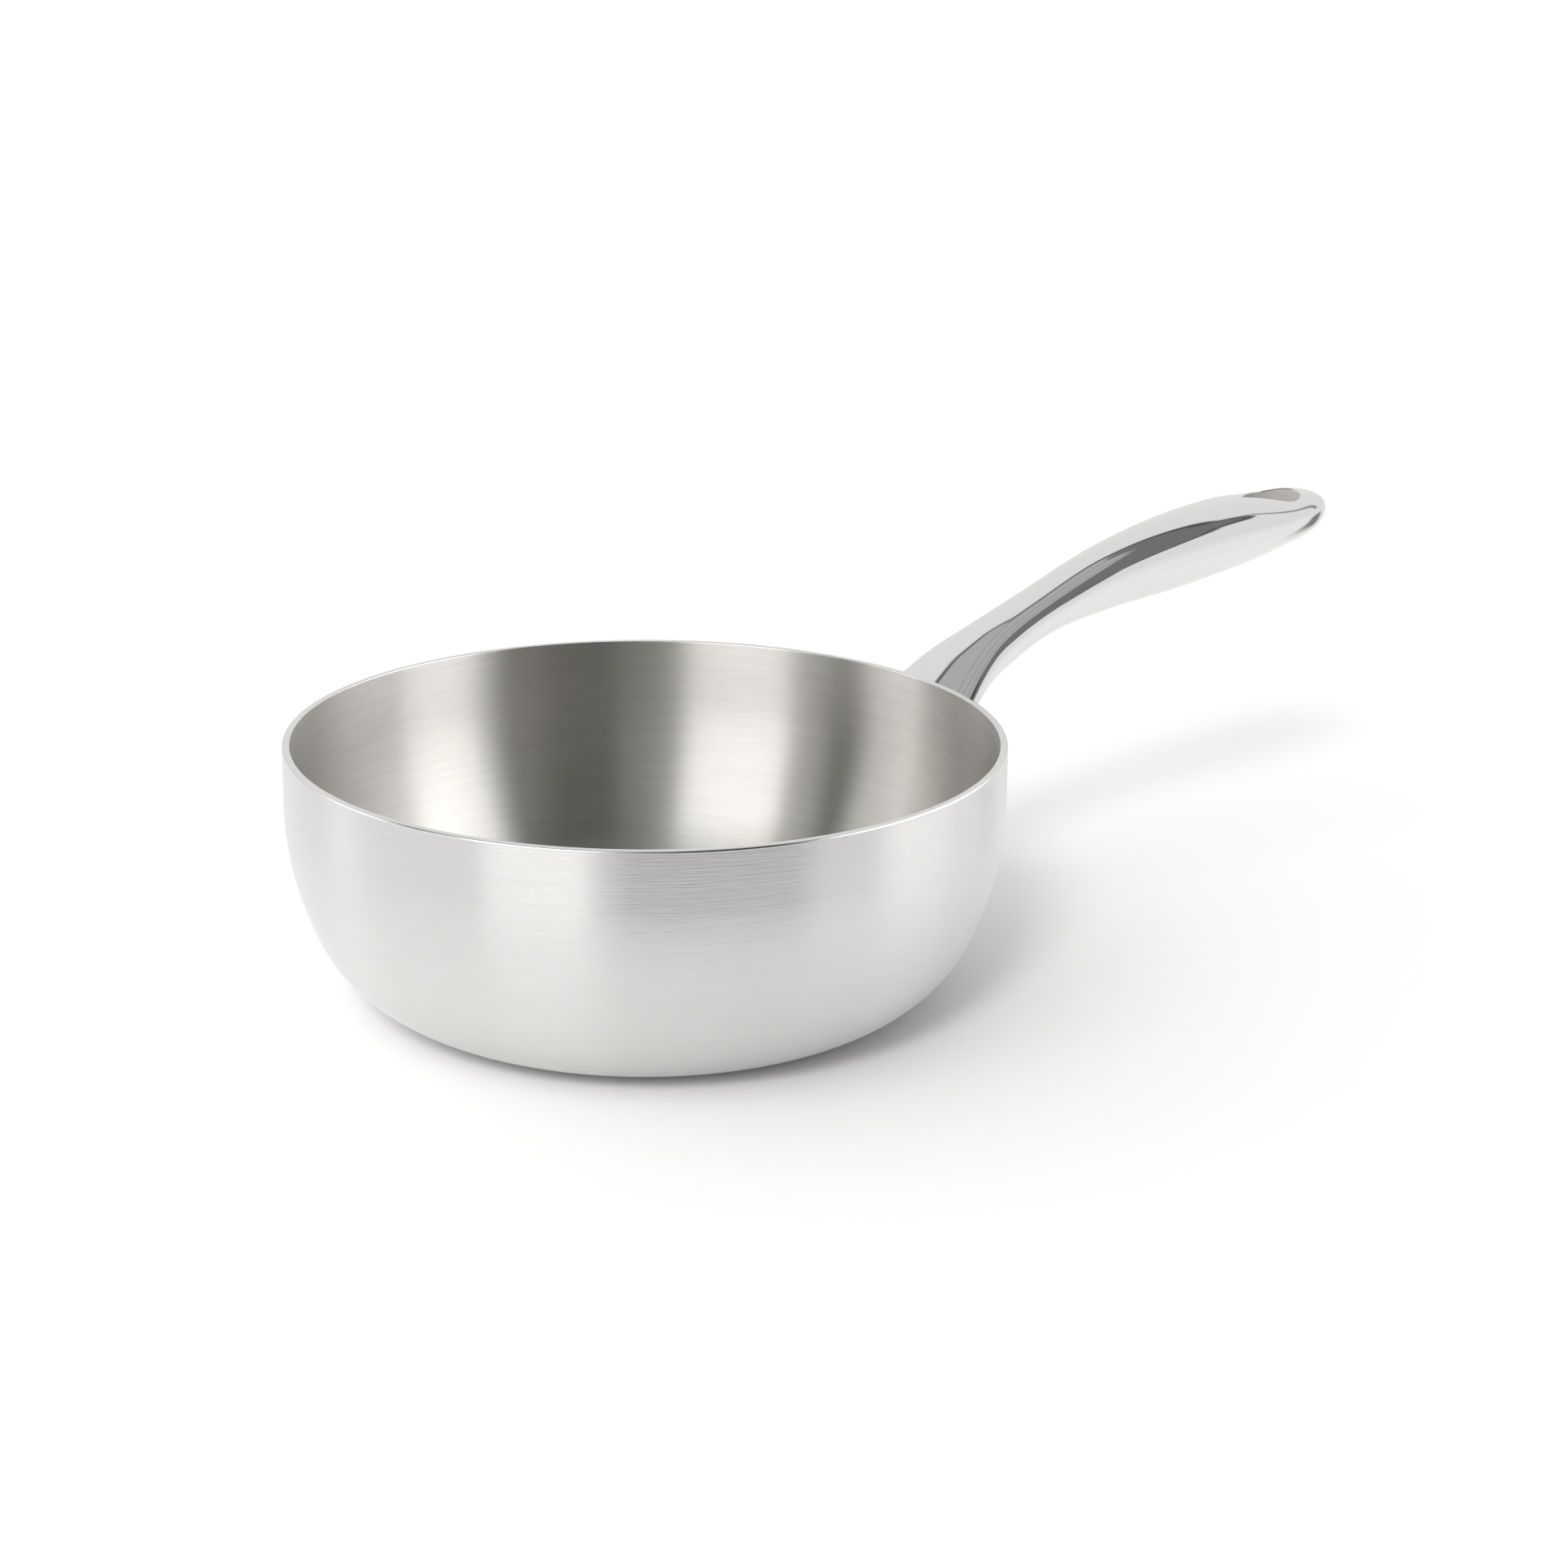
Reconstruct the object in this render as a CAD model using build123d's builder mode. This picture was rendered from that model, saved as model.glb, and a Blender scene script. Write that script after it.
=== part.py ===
from build123d import *
from math import cos, pi, radians, sin
import os

# Saucier pan, in millimetres.
# The origin is the centre of the underside, on the surface that the pan stands on.
# +Z is up and the handle points along +X.

# Bowl: outside shape, from the rim down
rim_diameter = 240.0
bowl_height = 90.6
shoulder_radius = 106.0
knuckle_radius = 48.0
shoulder_angle = 24.0

# Plies of the bonded sheet, from the outside in
skin_thickness = 0.5
outer_bond_thickness = 0.2
core_thickness = 1.1
inner_bond_thickness = 0.2
liner_thickness = 0.5

# Closed rim: the liner is turned out over the edges of the other plies
lip_height = 0.9
lip_outer_rounding = 0.6
lip_inner_rounding = 0.25

# Handle: reach from the wall, and the middle line's height at each end against the rim
handle_reach = 188.0
root_drop = 12.0
tip_rise = 37.7

# Handle: full widths and depths where it meets the wall, at the neck and at the grip
root_width = 46.0
neck_width = 23.0
grip_width = 36.0
root_depth = 20.0
neck_depth = 16.2
grip_depth = 25.8

# Handle: the tip closes over these lengths, seen from above and from the side
tip_plan_length = 46.0
tip_side_length = 17.0

# Handle: wall of the hollow casting, and the length left solid round the eye
casting_wall = 2.6
solid_end = 60.0
core_nose = 14.0

# Hanging eye: a teardrop through the tip, its point towards the bowl
eye_radius = 9.2
eye_point_radius = 0.9
eye_centre_to_tip = 23.2
eye_centre_to_point = 15.8

# Weld round the handle's root
weld_leg = 1.4
weld_sink = 0.5

# How far cutting shapes run past what they cut
overrun = 6.0

# Places along the reach, from the wall to the tip, and what each dimension does there
station_shares = (0.0, 0.07, 0.15, 0.27, 0.42, 0.58, 0.74, 0.88, 1.0)
rise_shares = (0.0, 0.233, 0.392, 0.577, 0.73, 0.829, 0.907, 0.956, 1.0)
width_flare_shares = (1.0, 0.52, 0.15, 0.0, 0.0, 0.0, 0.0, 0.0, 0.0)
width_swell_shares = (0.0, 0.0, 0.0, 0.0, 0.19, 0.54, 0.81, 1.0, 1.0)
depth_flare_shares = (1.0, 0.1, 0.08, 0.0, 0.0, 0.0, 0.0, 0.0, 0.0)
depth_swell_shares = (0.0, 0.0, 0.0, 0.0, 0.583, 1.0, 0.885, 0.23, 0.0)

# Places near the tip where the sections are closer together
tip_station_shares = (0.81, 0.88, 0.94, 0.975, 0.993)

# The handle's cross-section: nearly an ellipse, a little squarer above than below
section_points = 20
upper_share = 0.47
upper_roundness_share = 2.25
lower_roundness_share = 2.15

# Worked out from the sizes above
rim_radius = rim_diameter / 2
outer_bond_inset = skin_thickness
core_inset = outer_bond_inset + outer_bond_thickness
inner_bond_inset = core_inset + core_thickness
liner_inset = inner_bond_inset + inner_bond_thickness
wall_thickness = liner_inset + liner_thickness
ply_top = bowl_height - lip_height
shoulder_x = rim_radius - shoulder_radius
shoulder_z = (shoulder_radius - knuckle_radius) * sin(radians(shoulder_angle)) + knuckle_radius
knuckle_x = shoulder_x + (shoulder_radius - knuckle_radius) * cos(radians(shoulder_angle))
tip_x = rim_radius + handle_reach


def bowl_outline(inset, top):
    """Half of the bowl's outline, inset from its outside: base, two arcs and a straight wall."""
    Line((0, inset), (knuckle_x, inset))
    CenterArc((knuckle_x, knuckle_radius), knuckle_radius - inset, -90, 90 - shoulder_angle)
    CenterArc((shoulder_x, shoulder_z), shoulder_radius - inset, -shoulder_angle, shoulder_angle)
    Line((rim_radius - inset, shoulder_z), (rim_radius - inset, top))


def ply_section(outer_inset, inner_inset):
    """Half of one sheet's section, between two insets, cut off under the liner's lip."""
    with BuildSketch(Plane.XZ) as section:
        with BuildLine():
            bowl_outline(outer_inset, ply_top)
            Line((rim_radius - outer_inset, ply_top), (rim_radius - inner_inset, ply_top))
            bowl_outline(inner_inset, ply_top)
            Line((0, outer_inset), (0, inner_inset))
        make_face()
    return section.sketch


def blend(shares, share):
    """A table's value at a share of the reach, on a smooth curve through its stations."""
    left = max(count for count in range(len(shares) - 1) if station_shares[count] <= share)
    slopes = []
    for count in (left, left + 1):
        before, after = max(count - 1, 0), min(count + 1, len(shares) - 1)
        run = station_shares[after] - station_shares[before]
        slopes.append((shares[after] - shares[before]) / run)
    span = station_shares[left + 1] - station_shares[left]
    part = (share - station_shares[left]) / span
    step = part**2 * (3 - 2 * part)
    ease_out = part * (1 - part) ** 2
    ease_in = part**2 * (part - 1)
    level = shares[left] + (shares[left + 1] - shares[left]) * step
    return level + (slopes[0] * ease_out + slopes[1] * ease_in) * span


def closing(share, length):
    """How far the tip has closed: an ellipse's quarter over the last length of the reach."""
    into_tip = (share - 1) * handle_reach / length + 1
    return (1 - max(into_tip, 0) ** 2) ** 0.5


def middle_height(share):
    """Height of the handle's middle line above the standing surface."""
    return bowl_height - root_drop + (root_drop + tip_rise) * blend(rise_shares, share)


def full_width(share):
    """Width of the handle's outside at a share of its reach."""
    width = neck_width + (root_width - neck_width) * blend(width_flare_shares, share)
    width += (grip_width - neck_width) * blend(width_swell_shares, share)
    return width * closing(share, tip_plan_length)


def full_depth(share):
    """Depth of the handle's outside at a share of its reach."""
    depth = neck_depth + (root_depth - neck_depth) * blend(depth_flare_shares, share)
    depth += (grip_depth - neck_depth) * blend(depth_swell_shares, share)
    return depth * closing(share, tip_side_length)


def section_outline(width, depth, height):
    """A closed outline from a superellipse's two halves, either side of its widest line."""
    widest = height + depth * (0.5 - upper_share)
    points = []
    for count in range(section_points):
        angle = 2 * pi * count / section_points
        across, up = cos(angle), sin(angle)
        roundness = upper_roundness_share if up > 0 else lower_roundness_share
        reach_up = upper_share if up > 0 else 1 - upper_share
        side = (abs(across) ** (2 / roundness)) * (1 if across > 0 else -1)
        rise = (abs(up) ** (2 / roundness)) * (1 if up > 0 else -1)
        points.append((side * width / 2, widest + rise * reach_up * depth))
    Spline(*points, periodic=True)


def handle_section(x, width, depth, height):
    """The face of one cross-section, square to X."""
    with BuildSketch(Plane.YZ.offset(x)) as section:
        with BuildLine():
            section_outline(width, depth, height)
        make_face()
    return section.sketch


def sections_along(shares, inset):
    """Cross-sections of the handle at shares of its reach, drawn in by an inset."""
    faces = []
    for share in shares:
        x = rim_radius + share * handle_reach
        width = full_width(share) - 2 * inset
        depth = full_depth(share) - 2 * inset
        faces.append(handle_section(x, width, depth, middle_height(share)))
    return faces


def root_section(x, growth):
    """The root's cross-section at a place along X, grown all round."""
    return handle_section(x, root_width + 2 * growth, root_depth + 2 * growth, middle_height(0))


os.makedirs("parts", exist_ok=True)

# Everything inside the bowl's outside surface, used to cut what meets the bowl
with BuildPart() as bowl_envelope:
    with BuildSketch(Plane.XZ):
        with BuildLine():
            bowl_outline(0, bowl_height)
            Line((rim_radius, bowl_height), (0, bowl_height))
            Line((0, bowl_height), (0, 0))
        make_face()
    revolve(axis=Axis.Z)

# Outside of the handle, from inside the wall to its tip
outer_shares = tuple(share for share in station_shares if share < tip_station_shares[0])
with BuildPart() as handle_outside:
    loft(
        [root_section(rim_radius - overrun, 0)]
        + sections_along(outer_shares + tip_station_shares, 0)
        + [Vertex(tip_x, 0, middle_height(1))]
    )

# Hollow of the casting, open towards the bowl, with a narrower nose
cavity_end_share = 1 - solid_end / handle_reach
nose_start_share = cavity_end_share - core_nose / handle_reach
cavity_shares = tuple(share for share in station_shares if share < nose_start_share)
with BuildPart() as cavity:
    loft(
        [root_section(rim_radius - overrun, -casting_wall)]
        + sections_along(cavity_shares + (nose_start_share,), casting_wall)
        + sections_along((cavity_end_share,), 2 * casting_wall)
    )

# Handle casting
with BuildPart() as handle_casting:
    add(handle_outside.part)
    add(cavity.part, mode=Mode.SUBTRACT)
    add(bowl_envelope.part, mode=Mode.SUBTRACT)
    with BuildSketch(Plane.XY.offset(bowl_height)):
        with Locations((tip_x - eye_centre_to_tip, 0)):
            Circle(eye_radius)
        with Locations((tip_x - eye_centre_to_tip - eye_centre_to_point, 0)):
            Circle(eye_point_radius)
        make_hull()
    extrude(amount=tip_rise + grip_depth, both=True, mode=Mode.SUBTRACT)
handle_casting.part.label = "handle_casting"
export_step(handle_casting.part, "parts/handle_casting.step")

# Weld bead: a fillet between the wall and the handle, all round the root
weld_end_share = (weld_leg + weld_sink) / handle_reach
with BuildPart() as root_weld_bead:
    loft(
        [root_section(rim_radius - overrun, weld_leg), root_section(rim_radius, weld_leg)]
        + sections_along((weld_end_share,), weld_sink),
        ruled=True,
    )
    add(handle_outside.part, mode=Mode.SUBTRACT)
    add(bowl_envelope.part, mode=Mode.SUBTRACT)
root_weld_bead.part.label = "root_weld_bead"
export_step(root_weld_bead.part, "parts/root_weld_bead.step")

# Liner: the cooking surface, with its lip turned out over the other plies
with BuildPart() as cooking_liner:
    revolve(ply_section(liner_inset, wall_thickness), axis=Axis.Z)
    with BuildSketch(Plane.XZ):
        with BuildLine():
            Polyline(
                (rim_radius - wall_thickness, ply_top),
                (rim_radius, ply_top),
                (rim_radius, bowl_height),
                (rim_radius - wall_thickness, bowl_height),
                close=True,
            )
        make_face()
    revolve(axis=Axis.Z)
    lip_edges = cooking_liner.edges().filter_by(GeomType.CIRCLE).group_by(Axis.Z)[-1]
    fillet(lip_edges.sort_by(SortBy.RADIUS)[-1], lip_outer_rounding)
    lip_edges = cooking_liner.edges().filter_by(GeomType.CIRCLE).group_by(Axis.Z)[-1]
    fillet(lip_edges.sort_by(SortBy.RADIUS)[0], lip_inner_rounding)
cooking_liner.part.label = "cooking_liner"
export_step(cooking_liner.part, "parts/cooking_liner.step")

# Inner bond sheet, between the liner and the core
with BuildPart() as inner_bond_sheet:
    revolve(ply_section(inner_bond_inset, liner_inset), axis=Axis.Z)
inner_bond_sheet.part.label = "inner_bond_sheet"
export_step(inner_bond_sheet.part, "parts/inner_bond_sheet.step")

# Core, which spreads the heat over the base and up the wall
with BuildPart() as alloy_core:
    revolve(ply_section(core_inset, inner_bond_inset), axis=Axis.Z)
alloy_core.part.label = "alloy_core"
export_step(alloy_core.part, "parts/alloy_core.step")

# Outer bond sheet, between the core and the skin
with BuildPart() as outer_bond_sheet:
    revolve(ply_section(outer_bond_inset, core_inset), axis=Axis.Z)
outer_bond_sheet.part.label = "outer_bond_sheet"
export_step(outer_bond_sheet.part, "parts/outer_bond_sheet.step")

# Skin: the outside of the bowl, which stands on the hob
with BuildPart() as induction_skin:
    revolve(ply_section(0, outer_bond_inset), axis=Axis.Z)
induction_skin.part.label = "induction_skin"
export_step(induction_skin.part, "parts/induction_skin.step")
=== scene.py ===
"""Saucier pan: surfaces, finishes and a plain studio round the packed model."""

from math import cos, pi, radians, sin, tan, tau

import bmesh
import bpy
import numpy as np
from bpy.props import FloatProperty, FloatVectorProperty, PointerProperty
from bpy.types import Operator, Panel, PropertyGroup
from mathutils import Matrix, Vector


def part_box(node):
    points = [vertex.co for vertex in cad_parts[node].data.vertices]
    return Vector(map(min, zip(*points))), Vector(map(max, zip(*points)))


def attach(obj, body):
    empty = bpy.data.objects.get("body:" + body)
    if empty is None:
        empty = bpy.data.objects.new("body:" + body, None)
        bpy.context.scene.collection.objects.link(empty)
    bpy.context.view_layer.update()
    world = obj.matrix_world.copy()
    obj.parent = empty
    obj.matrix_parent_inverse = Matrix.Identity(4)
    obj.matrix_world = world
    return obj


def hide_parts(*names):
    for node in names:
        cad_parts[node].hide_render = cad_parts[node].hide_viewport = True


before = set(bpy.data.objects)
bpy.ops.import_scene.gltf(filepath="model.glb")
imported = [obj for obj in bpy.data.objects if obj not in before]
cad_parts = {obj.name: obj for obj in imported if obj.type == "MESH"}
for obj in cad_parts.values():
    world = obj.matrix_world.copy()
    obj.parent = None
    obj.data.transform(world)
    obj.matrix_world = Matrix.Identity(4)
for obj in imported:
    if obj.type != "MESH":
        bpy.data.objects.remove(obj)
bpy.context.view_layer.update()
liner_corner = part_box("cooking_liner")[1]
handle_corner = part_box("handle_casting")[1]

bl_info = {
    "name": "Saucier pan",
    "version": (1, 0, 0),
    "blender": (4, 5, 0),
    "location": "3D View > Sidebar > Saucier",
    "description": "Builds a saucier pan's surfaces and finishes, and a studio to look at it in",
    "category": "Add Mesh",
}

MM = 0.001
# Points nearer to each other than this, in metres, are one point
TOUCHING = 1e-6

# The handle's tables: places along its reach, and what each dimension does there
STATION_SHARES = (0.0, 0.07, 0.15, 0.27, 0.42, 0.58, 0.74, 0.88, 1.0)
RISE_SHARES = (0.0, 0.233, 0.392, 0.577, 0.73, 0.829, 0.907, 0.956, 1.0)
WIDTH_FLARE_SHARES = (1.0, 0.52, 0.15, 0.0, 0.0, 0.0, 0.0, 0.0, 0.0)
WIDTH_SWELL_SHARES = (0.0, 0.0, 0.0, 0.0, 0.19, 0.54, 0.81, 1.0, 1.0)
DEPTH_FLARE_SHARES = (1.0, 0.1, 0.08, 0.0, 0.0, 0.0, 0.0, 0.0, 0.0)
DEPTH_SWELL_SHARES = (0.0, 0.0, 0.0, 0.0, 0.583, 1.0, 0.885, 0.23, 0.0)
UPPER_SHARE = 0.47
UPPER_ROUNDNESS = 2.25
LOWER_ROUNDNESS = 2.15

# How finely the surfaces are cut
TURN_STEPS = 320
ARC_STEPS = 28
HALF_STEPS = 56
TUBE_ROWS = 120
TIP_STEPS = 112
TIP_ROWS = 30
ROUNDING_ROWS = 6
EYE_WALL_ROWS = 10
LIP_SIDE_ROWS = 2
SHARP_ANGLE = radians(50)


def linear(code):
    """Linear red, green and blue from an sRGB hex colour."""
    parts = [int(code[start:start + 2], 16) / 255 for start in (1, 3, 5)]
    return tuple(p / 12.92 if p <= 0.04045 else ((p + 0.055) / 1.055) ** 2.4 for p in parts)


def length(name, description, value):
    """A length property whose default is given in metres."""
    return FloatProperty(
        name=name, description=description, default=value, min=0.0, precision=5, unit="LENGTH"
    )


def angle(name, description, degrees):
    """An angle property whose default is given in degrees."""
    return FloatProperty(
        name=name, description=description, default=radians(degrees), subtype="ANGLE"
    )


def fraction(name, description, value):
    """A property that runs from nothing to one."""
    return FloatProperty(name=name, description=description, default=value, min=0.0, max=1.0)


def colour(name, description, code):
    """A colour property whose default is an sRGB hex value."""
    return FloatVectorProperty(
        name=name, description=description, default=linear(code), subtype="COLOR", min=0.0, max=1.0
    )


class SaucierSizes(PropertyGroup):
    """Sizes of the bowl and the handle."""

    rim_radius: length("Rim radius", "Outside of the wall at the rim", liner_corner.x)
    bowl_height: length("Bowl height", "Rim above the standing surface", liner_corner.z)
    shoulder_radius: length("Shoulder radius", "Upper arc of the outside", 106 * MM)
    knuckle_radius: length("Knuckle radius", "Lower arc of the outside", 48 * MM)
    shoulder_angle: angle("Shoulder angle", "Turn of the upper arc", 24)
    wall_thickness: length("Wall", "All plies together", 2.5 * MM)
    liner_thickness: length("Liner", "Inner stainless ply", 0.5 * MM)
    skin_thickness: length("Skin", "Outer stainless ply", 0.5 * MM)
    lip_height: length("Lip height", "Liner turned out over the other plies", 0.9 * MM)
    lip_outer_rounding: length("Lip outer rounding", "Outer edge of the rim", 0.6 * MM)
    lip_inner_rounding: length("Lip inner rounding", "Inner edge of the rim", 0.25 * MM)
    tip_x: length("Handle tip", "Tip of the handle along X", handle_corner.x)
    root_drop: length("Root drop", "Handle's middle line under the rim at its root", 12 * MM)
    tip_rise: length("Tip rise", "Handle's middle line over the rim at its tip", 37.7 * MM)
    root_width: length("Root width", "Handle's width at the wall", 46 * MM)
    neck_width: length("Neck width", "Handle's width at its narrowest", 23 * MM)
    grip_width: length("Grip width", "Handle's width at the grip", 36 * MM)
    root_depth: length("Root depth", "Handle's depth at the wall", 20 * MM)
    neck_depth: length("Neck depth", "Handle's depth at the neck", 16.2 * MM)
    grip_depth: length("Grip depth", "Handle's depth at the grip", 25.8 * MM)
    tip_plan_length: length("Tip in plan", "Length over which the width closes", 46 * MM)
    tip_side_length: length("Tip from the side", "Length over which the depth closes", 17 * MM)
    casting_wall: length("Casting wall", "Wall of the hollow handle", 2.6 * MM)
    solid_end: length("Solid end", "Length of the tip with no hollow", 60 * MM)
    core_nose: length("Hollow's nose", "Length over which the hollow narrows", 14 * MM)
    eye_radius: length("Eye radius", "Round end of the hanging eye", 9.2 * MM)
    eye_point_radius: length("Eye point radius", "Pointed end of the eye", 0.9 * MM)
    eye_centre_to_tip: length("Eye to tip", "Eye's round centre from the tip", 23.2 * MM)
    eye_centre_to_point: length("Eye length", "Between the eye's two centres", 15.8 * MM)
    eye_rounding: length("Eye edge", "Rounding of the eye's edges", 0.45 * MM)
    weld_leg: length("Weld leg", "Reach of the weld from the corner", 1.4 * MM)
    weld_sink: length("Weld sink", "How far the weld runs into what it joins", 0.15 * MM)


class SaucierFinish(PropertyGroup):
    """Colours and surface of the finishes."""

    skin_colour: colour("Skin", "Brushed outside of the bowl", "#E2E1DF")
    liner_colour: colour("Liner", "Brushed inside of the bowl", "#DFDDD9")
    rim_colour: colour("Rim", "Ground edge of the bowl", "#E2E2E0")
    handle_colour: colour("Handle", "Polished casting", "#E6E6E4")
    eye_colour: colour("Eye wall", "Casting left as it came from the mould", "#D2D0CC")
    aluminium_colour: colour("Aluminium", "Plies inside the wall", "#D5D6D8")
    skin_roughness: fraction("Skin roughness", "How far the outside spreads light", 0.25)
    liner_roughness: fraction("Liner roughness", "How far the inside spreads light", 0.36)
    rim_roughness: fraction("Rim roughness", "How far the ground rim spreads light", 0.24)
    handle_roughness: fraction("Handle roughness", "Haze of the polished casting", 0.05)
    weld_roughness: fraction("Weld roughness", "Haze of the blended weld", 0.12)
    skin_groove: length("Skin groove", "Depth of the outside's brush lines", 0.06 * MM)
    liner_groove: length("Liner groove", "Depth of the inside's brush lines", 0.012 * MM)
    rim_groove: length("Rim groove", "Depth of the grinding lines on the rim", 0.005 * MM)
    brush_pitch: length("Brush pitch", "Spacing of the drawn brush lines", 0.45 * MM)
    polish_wave: length("Polish wave", "Spacing of the waves that polishing leaves", 14 * MM)
    cast_grain: length("Cast grain", "Spacing of the grain drawn on the eye's wall", 0.5 * MM)


class SaucierStage(PropertyGroup):
    """Camera and light."""

    camera_distance: length("Camera distance", "From the rim's centre", 1.2)
    camera_height: angle("Camera elevation", "Above the horizon", 16.93)
    handle_turn: angle("Handle turn", "From the picture's right towards the back", 34.8)
    focal_length: FloatProperty(
        name="Focal length",
        description="Of the camera's lens, in millimetres",
        default=83.03,
        min=1.0,
        subtype="DISTANCE_CAMERA",
    )
    floor_colour: colour("Floor", "Pale studio floor", "#FFFFFF")
    ambient: fraction("Ambient", "White light from all round, most of it from the left", 0.75)
    broad_key: fraction("Broad key", "Its light on the floor", 0.12)
    small_key: fraction("Small key", "Its light on the floor", 0.17)


def arc(centre, radius, start, end, steps=ARC_STEPS):
    """Points on a circle: the centre plus the radius times the cosine and sine of even angles."""
    angle = np.radians(np.linspace(start, end, steps + 1))
    return np.stack((centre[0] + radius * np.cos(angle), centre[1] + radius * np.sin(angle)), 1)


def straight(start, end, steps):
    """Points at even shares of the way from one end to the other."""
    share = np.linspace(0, 1, steps + 1)[:, None]
    return np.array(start) * (1 - share) + np.array(end) * share


def chain(*runs):
    """Runs joined end to end, each without the point that it shares with the run before."""
    return np.vstack([runs[0]] + [run[1:] for run in runs[1:]])


def shoulder_centre(size):
    """Centre of the upper arc, tangent to the wall."""
    turn = size.shoulder_angle
    drop = (size.shoulder_radius - size.knuckle_radius) * sin(turn)
    return size.rim_radius - size.shoulder_radius, drop + size.knuckle_radius


def knuckle_centre(size):
    """Centre of the lower arc, tangent to the upper arc and to the base."""
    across = (size.shoulder_radius - size.knuckle_radius) * cos(size.shoulder_angle)
    return shoulder_centre(size)[0] + across, size.knuckle_radius


def bowl_outline(size, inset, top):
    """Radius and height from the axis to the top of the wall: base, two arcs, straight wall."""
    shoulder, knuckle = shoulder_centre(size), knuckle_centre(size)
    turn = np.degrees(size.shoulder_angle)
    wall = size.rim_radius - inset
    return chain(
        straight((0, inset), (knuckle[0], inset), ARC_STEPS),
        arc(knuckle, size.knuckle_radius - inset, -90, -turn, 2 * ARC_STEPS),
        arc(shoulder, size.shoulder_radius - inset, -turn, 0, 2 * ARC_STEPS),
        straight((wall, shoulder[1]), (wall, top), ARC_STEPS),
    )


def bowl_radius(size, height):
    """Outside radius of the bowl at a height on its wall or its upper arc."""
    centre = shoulder_centre(size)
    below = np.minimum(height - centre[1], 0)
    return centre[0] + np.sqrt(size.shoulder_radius**2 - below**2)


def revolved(profile):
    """A profile turned once about Z: x and y are the radius times the turn's cosine and sine.

    The map beside it holds the turn as a share and the distance along the profile in metres.
    """
    turn = np.linspace(0, tau, TURN_STEPS + 1)
    radius, height = profile[:, :1], profile[:, 1:]
    level = height * np.ones_like(turn)
    points = np.stack((radius * np.cos(turn), radius * np.sin(turn), level), 2)
    along = np.r_[0, np.cumsum(np.hypot(*np.diff(profile, axis=0).T))]
    chart = np.stack(np.broadcast_arrays(turn / tau, along[:, None]), 2)
    return points, chart


def follow(table, share):
    """A table's value at shares of the reach.

    Between two stations it is the cubic that meets both values, with each slope taken from the
    stations either side.
    """
    stations, values = np.array(STATION_SHARES), np.array(table)
    last = len(values) - 1
    index = np.arange(last + 1)
    before, after = np.maximum(index - 1, 0), np.minimum(index + 1, last)
    slopes = (values[after] - values[before]) / (stations[after] - stations[before])
    left = np.clip(np.searchsorted(stations, share, side="right") - 1, 0, last - 1)
    span = stations[left + 1] - stations[left]
    part = np.clip((share - stations[left]) / span, 0, 1)
    level = values[left] + (values[left + 1] - values[left]) * part**2 * (3 - 2 * part)
    leaving = slopes[left] * part * (1 - part) ** 2
    arriving = slopes[left + 1] * part**2 * (part - 1)
    return level + (leaving + arriving) * span


def closing(from_tip, close_length):
    """An ellipse's quarter: nothing at the tip, and whole from the closing length on."""
    into = np.clip(1 - from_tip / close_length, 0, 1)
    return np.sqrt(1 - into**2)


def handle_frame(size, x, inset=0.0):
    """Half width, height over and depth under the widest line, and that line's height, at x."""
    reach = size.tip_x - size.rim_radius
    share = np.clip((x - size.rim_radius) / reach, 0, 1)
    width = size.neck_width + (size.root_width - size.neck_width) * follow(WIDTH_FLARE_SHARES, share)
    width += (size.grip_width - size.neck_width) * follow(WIDTH_SWELL_SHARES, share)
    depth = size.neck_depth + (size.root_depth - size.neck_depth) * follow(DEPTH_FLARE_SHARES, share)
    depth += (size.grip_depth - size.neck_depth) * follow(DEPTH_SWELL_SHARES, share)
    width = width * closing(size.tip_x - x, size.tip_plan_length) - 2 * inset
    depth = depth * closing(size.tip_x - x, size.tip_side_length) - 2 * inset
    rise = (size.root_drop + size.tip_rise) * follow(RISE_SHARES, share)
    widest = size.bowl_height - size.root_drop + rise + depth * (0.5 - UPPER_SHARE)
    return width / 2, depth * UPPER_SHARE, depth * (1 - UPPER_SHARE), widest


def handle_height(size, x, side, above, inset=0.0):
    """Height of the handle's surface over a place: a superellipse across, at half-width shares.

    The share raised to the roundness, and the height as a share of its greatest raised to the
    same, add up to one.
    """
    half, over, under, widest = handle_frame(size, x, inset)
    side = np.clip(np.abs(side), 0, 1)
    upper = over * (1 - side**UPPER_ROUNDNESS) ** (1 / UPPER_ROUNDNESS)
    lower = under * (1 - side**LOWER_ROUNDNESS) ** (1 / LOWER_ROUNDNESS)
    return widest + np.where(above, upper, -lower)


def around():
    """Shares of the half width once round a section, and which of them lie above."""
    angle = np.linspace(0, tau, 2 * HALF_STEPS + 1)
    across = np.cos(angle)
    side = np.sign(across) * np.abs(across) ** (2 / UPPER_ROUNDNESS)
    return side, np.arange(len(angle)) <= HALF_STEPS


def wall_start(size, inset):
    """Where each line along the handle meets the bowl: the root's section laid on the wall."""
    side, above = around()
    root = np.full_like(side, size.rim_radius)
    y = side * handle_frame(size, root, inset)[0]
    z = handle_height(size, root, side, above, inset)
    return np.stack((np.sqrt(bowl_radius(size, z) ** 2 - y**2), y, z), 1)


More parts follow.
